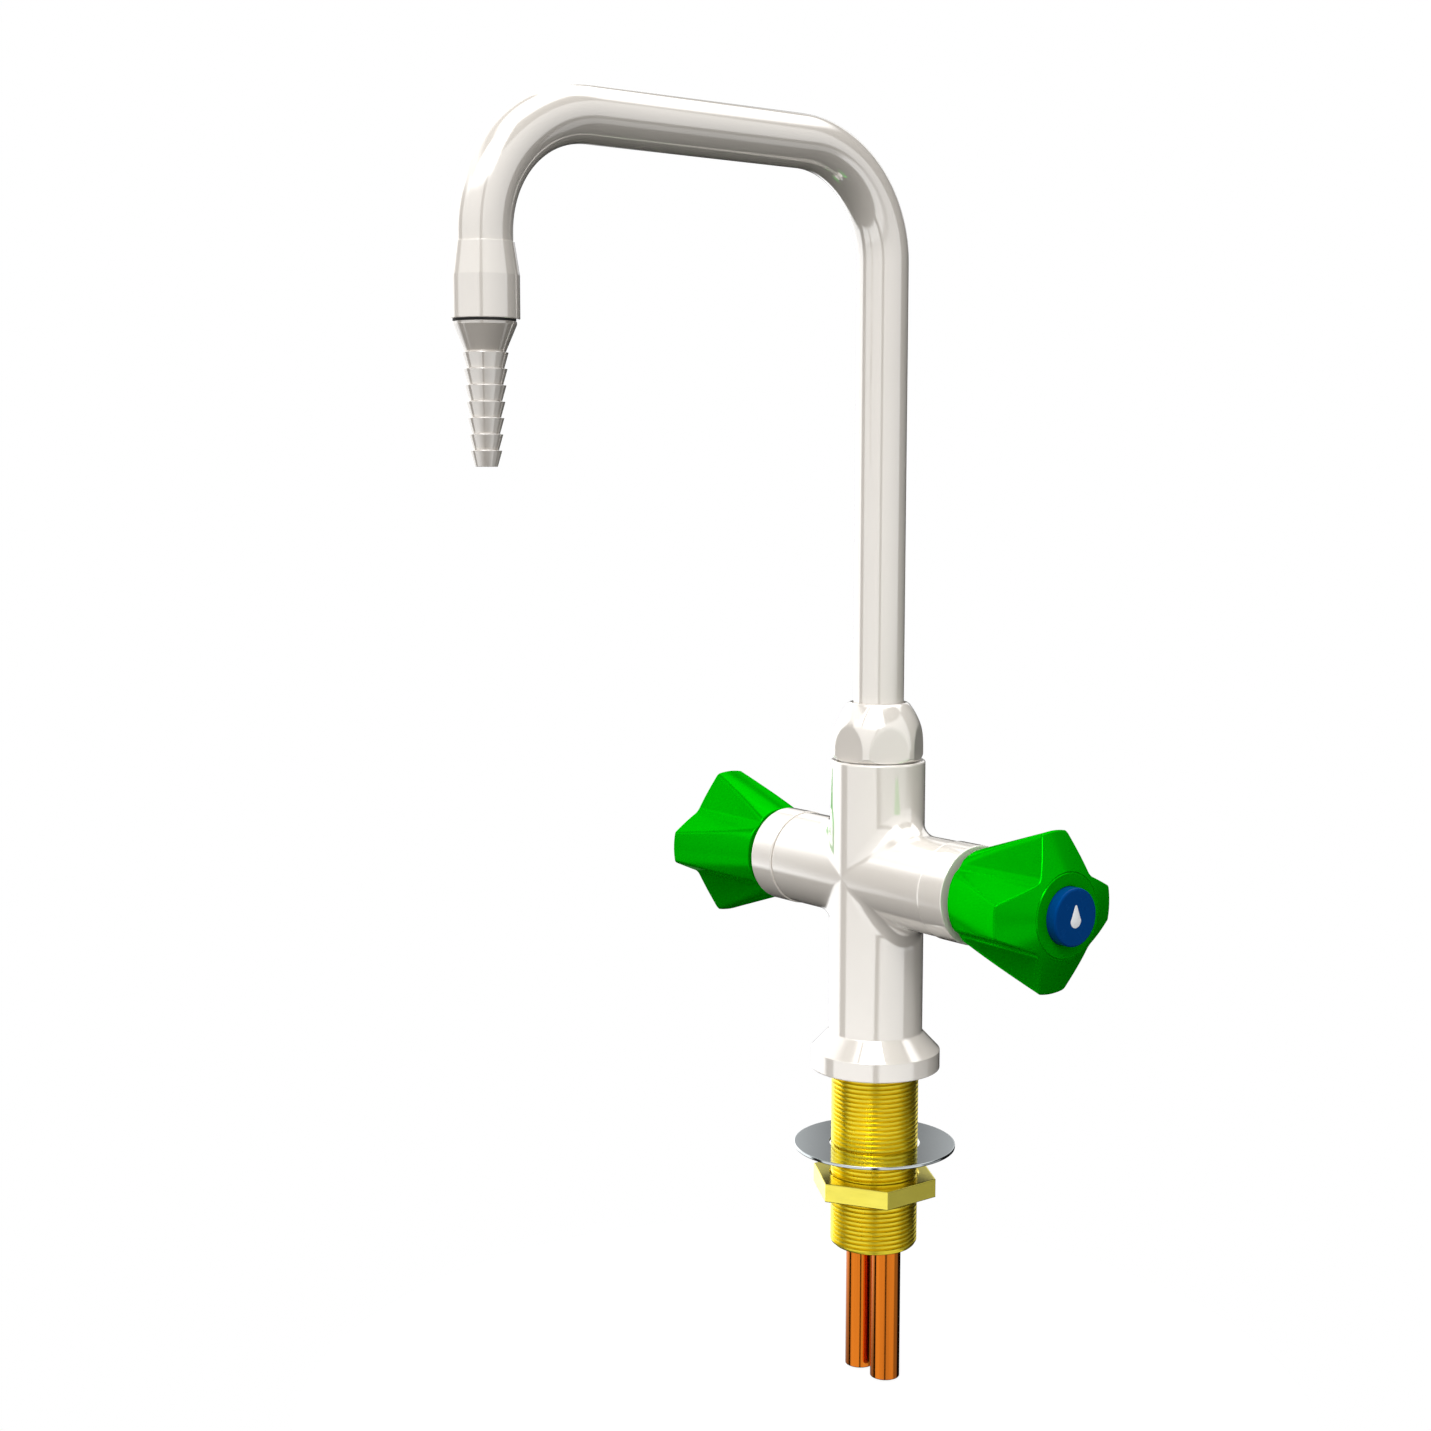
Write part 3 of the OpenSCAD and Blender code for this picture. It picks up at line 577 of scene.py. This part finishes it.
def drop_mark(side, name):
    """A plain water-drop sign, a thin inlay in the face of the button."""
    steps, r, centre_z, tip, waist = 64, 2.15, -0.9, 2.5, 0.42
    outline = []
    for k in range(steps):
        a = TAU * k / steps
        y, z = r * math.sin(a), -r * math.cos(a) + centre_z
        if z > centre_z:
            lift = (z - centre_z) / r
            z += tip * lift ** 2.2
            y *= 1 - waist * lift
        outline.append((y, z))
    rings = []
    for x, grow in ((BUTTON_TOP_X - 0.18, 1.0), (BUTTON_TOP_X, 1.0), (BUTTON_TOP_X + FIT, 0.97)):
        rings.append([(side * x, y * grow, BARREL_Z + z * grow) for y, z in outline])
    points = [p for ring in rings for p in ring]
    n = len(outline)
    faces = [
        (i * n + j, i * n + (j + 1) % n, (i + 1) * n + (j + 1) % n, (i + 1) * n + j)
        for i in range(2) for j in range(n)
    ]
    faces += [tuple(range(n)), tuple(range(2 * n, 3 * n))]
    return make(name, points, faces, MARK_WHITE, 30)


def button_profile():
    """Half section of the button, with a faintly crowned face."""
    low, button_r, face = BUTTON_WELL_X + 0.05, 8.65, BUTTON_TOP_X
    return soften([(0, low), (button_r, low), (button_r, face - FIT, 0.75), (4, face), (0, face)], 6, 0.2)


def collar_profile():
    """Section of the collar: a sleeve over the barrel's end, closed by a thin wall with a hole."""
    hole, inner, outer = 8.05, 13.8, 15.3
    low, wall, top = BARREL_END + 0.3, 42.6, 45.2
    return soften([
        (hole, wall), (inner, wall), (inner, low), (outer, low, 0.3), (outer, top, 0.35), (hole, top),
        (hole, wall),
    ])[:-1]


for label, side, paint, paint_slot in (("cold", 1, BLUE, "blue_gloss"), ("hot", -1, RED, "red_gloss")):
    moving = label + "_handle_set"
    done(handle(side, label + "_knob"), moving, "green_gloss", label + "_handle")
    done(
        lathe(label + "_button", button_profile(), on_barrel(side), paint, 96),
        moving, paint_slot, label + "_index",
    )
    done(drop_mark(side, label + "_drop"), moving, "white_gloss")
    done(
        lathe(label + "_sleeve", collar_profile(), on_barrel(side), WHITE, loop=True),
        "body", "white_gloss", label + "_collar",
    )


# Under the bench.


def threaded_shank():
    """A helical thread. Each row of vertices follows the helix, so crests and roots are clean lines."""
    n, depth, bore, bevel, end_slope = 120, 0.92, 11.5, 0.3, 1.1
    minor, runout = SHANK_R - depth, SHANK_R - depth - 0.15
    crest = SHANK_R - FIT
    shape = [(0.0, minor), (0.08, minor), (0.365, crest), (0.715, crest)]
    m = len(shape)
    turns = math.ceil((SHANK_TOP - SHANK_LOW) / PITCH) + 2

    def limit(r, z):
        to_end = min(max(0.0, z - SHANK_LOW), max(0.0, SHANK_TOP - z))
        return min(r, runout + to_end * end_slope)

    points, index = [], {}
    for i in range(turns * m + 1):
        for j in range(n):
            phase, r = shape[i % m]
            z = SHANK_LOW - 1.5 * PITCH + (i // m + phase + j / n) * PITCH
            z = min(max(z, SHANK_LOW), SHANK_TOP)
            a = TAU * j / n
            r = limit(r, z)
            index[i, j] = len(points)
            points.append((r * math.cos(a), r * math.sin(a), z))
    faces = []
    for i in range(turns * m):
        for j in range(n):
            if j < n - 1:
                corners = ((i, j), (i, j + 1), (i + 1, j + 1), (i + 1, j))
            else:
                corners = ((i, j), (i + m, 0), (i + m + 1, 0), (i + 1, j))
            if all(c in index for c in corners):
                faces.append(tuple(index[c] for c in corners))
    inner = [
        (runout, SHANK_TOP), (bore, SHANK_TOP), (bore, SHANK_LOW + bevel), (bore + bevel, SHANK_LOW),
        (runout, SHANK_LOW),
    ]
    start = len(points)
    for r, z in inner:
        points += [(r * math.cos(TAU * j / n), r * math.sin(TAU * j / n), z) for j in range(n)]
    for i in range(len(inner) - 1):
        a, b = start + i * n, start + (i + 1) * n
        faces += [(a + j, a + (j + 1) % n, b + (j + 1) % n, b + j) for j in range(n)]
    return make("threaded_tube", points, faces, THREAD_BRASS, 25)


done(threaded_shank(), "body", "brass_thread", "shank")


def washer_profile():
    """Section of the large washer, with softened edges."""
    hole, outer, top, low = SHANK_R + 0.6, 26.0, -25.3, -26.3
    middle = (top + low) / 2
    return soften([
        (hole, middle), (hole, top, 0.1), (outer, top, 0.22), (outer, low, 0.22), (hole, low, 0.1),
        (hole, middle),
    ], 3, 0.1)[:-1]


done(
    lathe("large_washer", washer_profile(), upright(), STEEL, 192, loop=True),
    "bench_washer", "steel", "bench_washer",
)


def thin_nut():
    """Hexagon nut with crisp, barely broken edges and a countersunk bore."""
    n, flat, corner_round = 720, 18.0, 0.12
    top, low = -35.2, -41.2
    bore, sink = SHANK_R + 0.05, 0.5

    def ring(grow, z):
        points = []
        for j in range(n):
            a = TAU * j / n
            d = (a + math.pi / 6) % (math.pi / 3) - math.pi / 6
            edge = math.pi / 3 - abs(d)
            r = soft_min(flat / math.cos(d), flat / math.cos(edge), corner_round)
            points.append(upright()(r + grow, a, z))
        return points

    broken_edge = [(-0.5, 0.0), (-0.16, 0.0), (-0.04, 0.05), (0.0, 0.16), (0.0, 0.4)]
    rows = [ring(grow, low + rise) for grow, rise in broken_edge]
    rows += [ring(grow, top - rise) for grow, rise in reversed(broken_edge)]
    for r, z in ((bore + sink, top), (bore, top - sink), (bore, low + sink), (bore + sink, low)):
        rows.append([upright()(r, TAU * j / n, z) for j in range(n)])
    return loft("hexagon_nut", rows, NUT_BRASS, loop=True, sharp=35)


done(thin_nut(), "backnut", "brass_nut", "backnut")


def tail_profile():
    """Section of a tail, with its thinner end that stands in the body."""
    spigot_r, shoulder, top, start = 4.45, 7.5, 21.5, TAIL_LOW + 5
    return soften([
        (TAIL_BORE, start), (TAIL_BORE, TAIL_LOW, 0.15), (TAIL_R, TAIL_LOW, 0.15), (TAIL_R, shoulder),
        (spigot_r, shoulder), (spigot_r, top), (TAIL_BORE, top), (TAIL_BORE, start),
    ], 3)[:-1]


for label, side in (("cold", 1), ("hot", -1)):
    done(
        lathe(label + "_supply_tail", tail_profile(), upright(side * TAIL_X, 0), COPPER, 72, loop=True),
        "body", "copper", label + "_tail",
    )


# Hidden CAD pieces keep their shape.

FINISH = {
    "base_seal": RUBBER, "slip_ring": NYLON, "spout_ferrule": BRASS, "spout_seals": RUBBER,
    "tail_ferrule": BRASS, "bonnet": BRASS, "gasket": RUBBER, "spindle": BRASS, "spindle_seals": RUBBER,
    "circlip": STEEL, "piston": BRASS, "seat_washer": RUBBER, "washer_screw": BRASS, "handle_screw": STEEL,
}
for node, obj in frame["nodes"].items():
    kind = node.removeprefix("cold_").removeprefix("hot_")
    if kind in FINISH:
        obj.data.materials.clear()
        obj.data.materials.append(FINISH[kind])


# Floor, light and camera.


def shown_white(tree, shader, strength):
    """Adds white for the camera alone to a shader.

    What mirrors the floor sees the studio through it. A camera below the floor sees through it too.
    """
    path = tree.nodes.new("ShaderNodeLightPath")
    level = tree.nodes.new("ShaderNodeMath")
    level.operation = "MULTIPLY"
    level.inputs[1].default_value = strength
    tree.links.new(path.outputs["Is Camera Ray"], level.inputs[0])
    glow = tree.nodes.new("ShaderNodeEmission")
    glow.inputs["Color"].default_value = (1, 1, 1, 1)
    tree.links.new(level.outputs[0], glow.inputs["Strength"])
    add = tree.nodes.new("ShaderNodeAddShader")
    tree.links.new(shader, add.inputs[0])
    tree.links.new(glow.outputs[0], add.inputs[1])
    clear = tree.nodes.new("ShaderNodeBsdfTransparent")
    back = tree.nodes.new("ShaderNodeNewGeometry").outputs["Backfacing"]
    gone = tree.nodes.new("ShaderNodeMath")
    gone.operation = "MAXIMUM"
    tree.links.new(path.outputs["Is Glossy Ray"], gone.inputs[0])
    tree.links.new(back, gone.inputs[1])
    mix = tree.nodes.new("ShaderNodeMixShader")
    tree.links.new(gone.outputs[0], mix.inputs[0])
    tree.links.new(add.outputs[0], mix.inputs[1])
    tree.links.new(clear.outputs[0], mix.inputs[2])
    return mix.outputs[0]


def floor():
    """A round floor just under the tails.

    Its white is glow, which a shadow doesn't dim, and its own grey is dark, so a shadow hardly shows.
    """
    mesh = bpy.data.meshes.new("floor")
    n, radius, centre_y, gap = 96, 0.16, -0.03, 0.0005
    z = TAIL_LOW * MM - gap
    rim = [(radius * math.cos(TAU * k / n), centre_y + radius * math.sin(TAU * k / n), z) for k in range(n)]
    mesh.from_pydata(rim, [], [tuple(range(n))])
    obj = bpy.data.objects.new("floor", mesh)
    bpy.context.scene.collection.objects.link(obj)
    mat = bpy.data.materials.new("pale_floor")
    mat.use_nodes = True
    tree = mat.node_tree
    bsdf = tree.nodes["Principled BSDF"]
    bsdf.inputs["Base Color"].default_value = (0.12, 0.12, 0.12, 1)
    bsdf.inputs["Roughness"].default_value = 0.9
    bsdf.inputs["Specular IOR Level"].default_value = 0.0
    tree.links.new(shown_white(tree, bsdf.outputs[0], 0.9), tree.nodes["Material Output"].inputs["Surface"])
    mesh.materials.append(mat)


def world():
    """A studio of soft panels round the tap, dim below and behind on the right.

    Azimuth is counted in degrees from the camera's side of the tap, positive to its right.
    """
    w = bpy.data.worlds.new("studio")
    bpy.context.scene.world = w
    w.use_nodes = True
    tree = w.node_tree
    back = tree.nodes["Background"]
    coords = tree.nodes.new("ShaderNodeTexCoord").outputs["Generated"]

    def math_node(operation, a, b=None):
        m = tree.nodes.new("ShaderNodeMath")
        m.operation = operation
        for socket, value in zip(m.inputs, (a, b)):
            if isinstance(value, (int, float)):
                socket.default_value = value
            elif value is not None:
                tree.links.new(value, socket)
        return m.outputs[0]

    def along(direction):
        dot = tree.nodes.new("ShaderNodeVectorMath")
        dot.operation = "DOT_PRODUCT"
        dot.inputs[1].default_value = direction
        tree.links.new(coords, dot.inputs[0])
        return dot.outputs["Value"]

    def ramp(value, low, high, start=0.0, end=1.0):
        m = tree.nodes.new("ShaderNodeMapRange")
        m.interpolation_type = "SMOOTHSTEP"
        for key, x in zip(("From Min", "From Max", "To Min", "To Max"), (low, high, start, end)):
            m.inputs[key].default_value = x
        tree.links.new(value, m.inputs["Value"])
        return m.outputs["Result"]

    def band(value, low, high, soft):
        rise = ramp(value, low - soft, low + soft)
        return math_node("MULTIPLY", rise, ramp(value, high - soft, high + soft, 1.0, 0.0))

    near, right = (0.7921, -0.6104, 0.0), (0.6104, 0.7921, 0.0)
    azimuth = math_node("DEGREES", math_node("ARCTAN2", along(right), along(near)))
    elevation = math_node("DEGREES", math_node("ARCSINE", along((0, 0, 1))))

    level = ramp(elevation, -30, 3, 0.005, 0.03)
    for az_low, az_high, az_soft, el_low, el_high, el_soft, strength in PANELS:
        across = band(azimuth, az_low, az_high, az_soft)
        upward = band(elevation, el_low, el_high, el_soft)
        glow = math_node("MULTIPLY", across, upward)
        level = math_node("ADD", level, math_node("MULTIPLY", glow, strength))
    path = tree.nodes.new("ShaderNodeLightPath")
    mix = tree.nodes.new("ShaderNodeMix")
    tree.links.new(path.outputs["Is Camera Ray"], mix.inputs[0])
    tree.links.new(level, mix.inputs[2])
    mix.inputs[3].default_value = 1.0
    tree.links.new(mix.outputs[0], back.inputs["Strength"])
    back.inputs["Color"].default_value = (1, 1, 1, 1)


def camera():
    """Stands where the photograph was taken from, as fitted to its edges."""
    eye = Vector((0.495634, -0.447138, 0.191327))
    right = Vector((0.610393635, 0.792097699, 0.000919187593))
    ahead = Vector((-0.786682025, 0.606354952, -0.116039058))
    up = right.cross(ahead)
    data = bpy.data.cameras.new("camera")
    obj = bpy.data.objects.new("camera", data)
    bpy.context.scene.collection.objects.link(obj)
    data.sensor_width = 36.0
    data.lens = 53.266
    turn = Matrix((right, up, -ahead)).transposed()
    obj.matrix_world = Matrix.Translation(eye) @ turn.to_4x4()
    data.clip_start, data.clip_end = 0.01, 50
    bpy.context.scene.camera = obj


# Each panel: azimuth from, to and softness, elevation from, to and softness in degrees, then strength.
PANELS = [
    (-175, -104, 5, -22, 28, 4, 1.6),
    (-84, -8, 2.5, -14, 34, 3, 0.72),
    (2.5, 86, 2.5, -6, 40, 3, 0.72),
    (2.5, 68, 6, -14, -6, 3, 0.42),
    (-84, -8, 2.5, -30, -14, 3, 1.05),
    (2.5, 68, 4, -30, -14, 3, 0.98),
    (68, 105, 4, -30, -15.5, 2, 0.36),
    (-66, 14, 8, 33, 64, 7, 2.4),
    (-40, 8, 8, 36, 64, 6, 2.6),
    (-24, -2, 3, 46, 60, 3, 9.0),
    (-165, -66, 8, 27, 48, 6, 1.0),
    (-183, -150, 3, 8, 30, 5, 0.2),
    (150, 183, 3, 8, 30, 5, 0.2),
    (-190, -150, 3, 8, 30, 5, 0.7),
    (177.7, 190, 2, 8, 30, 5, 0.7),
    (150, 173.3, 2, 8, 30, 5, 0.7),
    (-182, -165, 5, 36, 66, 6, 1.8),
    (90, 182, 5, 42, 66, 5, 1.7),
    (-190, 190, 5, 64, 100, 6, 2.1),
]
floor()
world()
camera()

scene = bpy.context.scene
scene.view_settings.view_transform = "Standard"
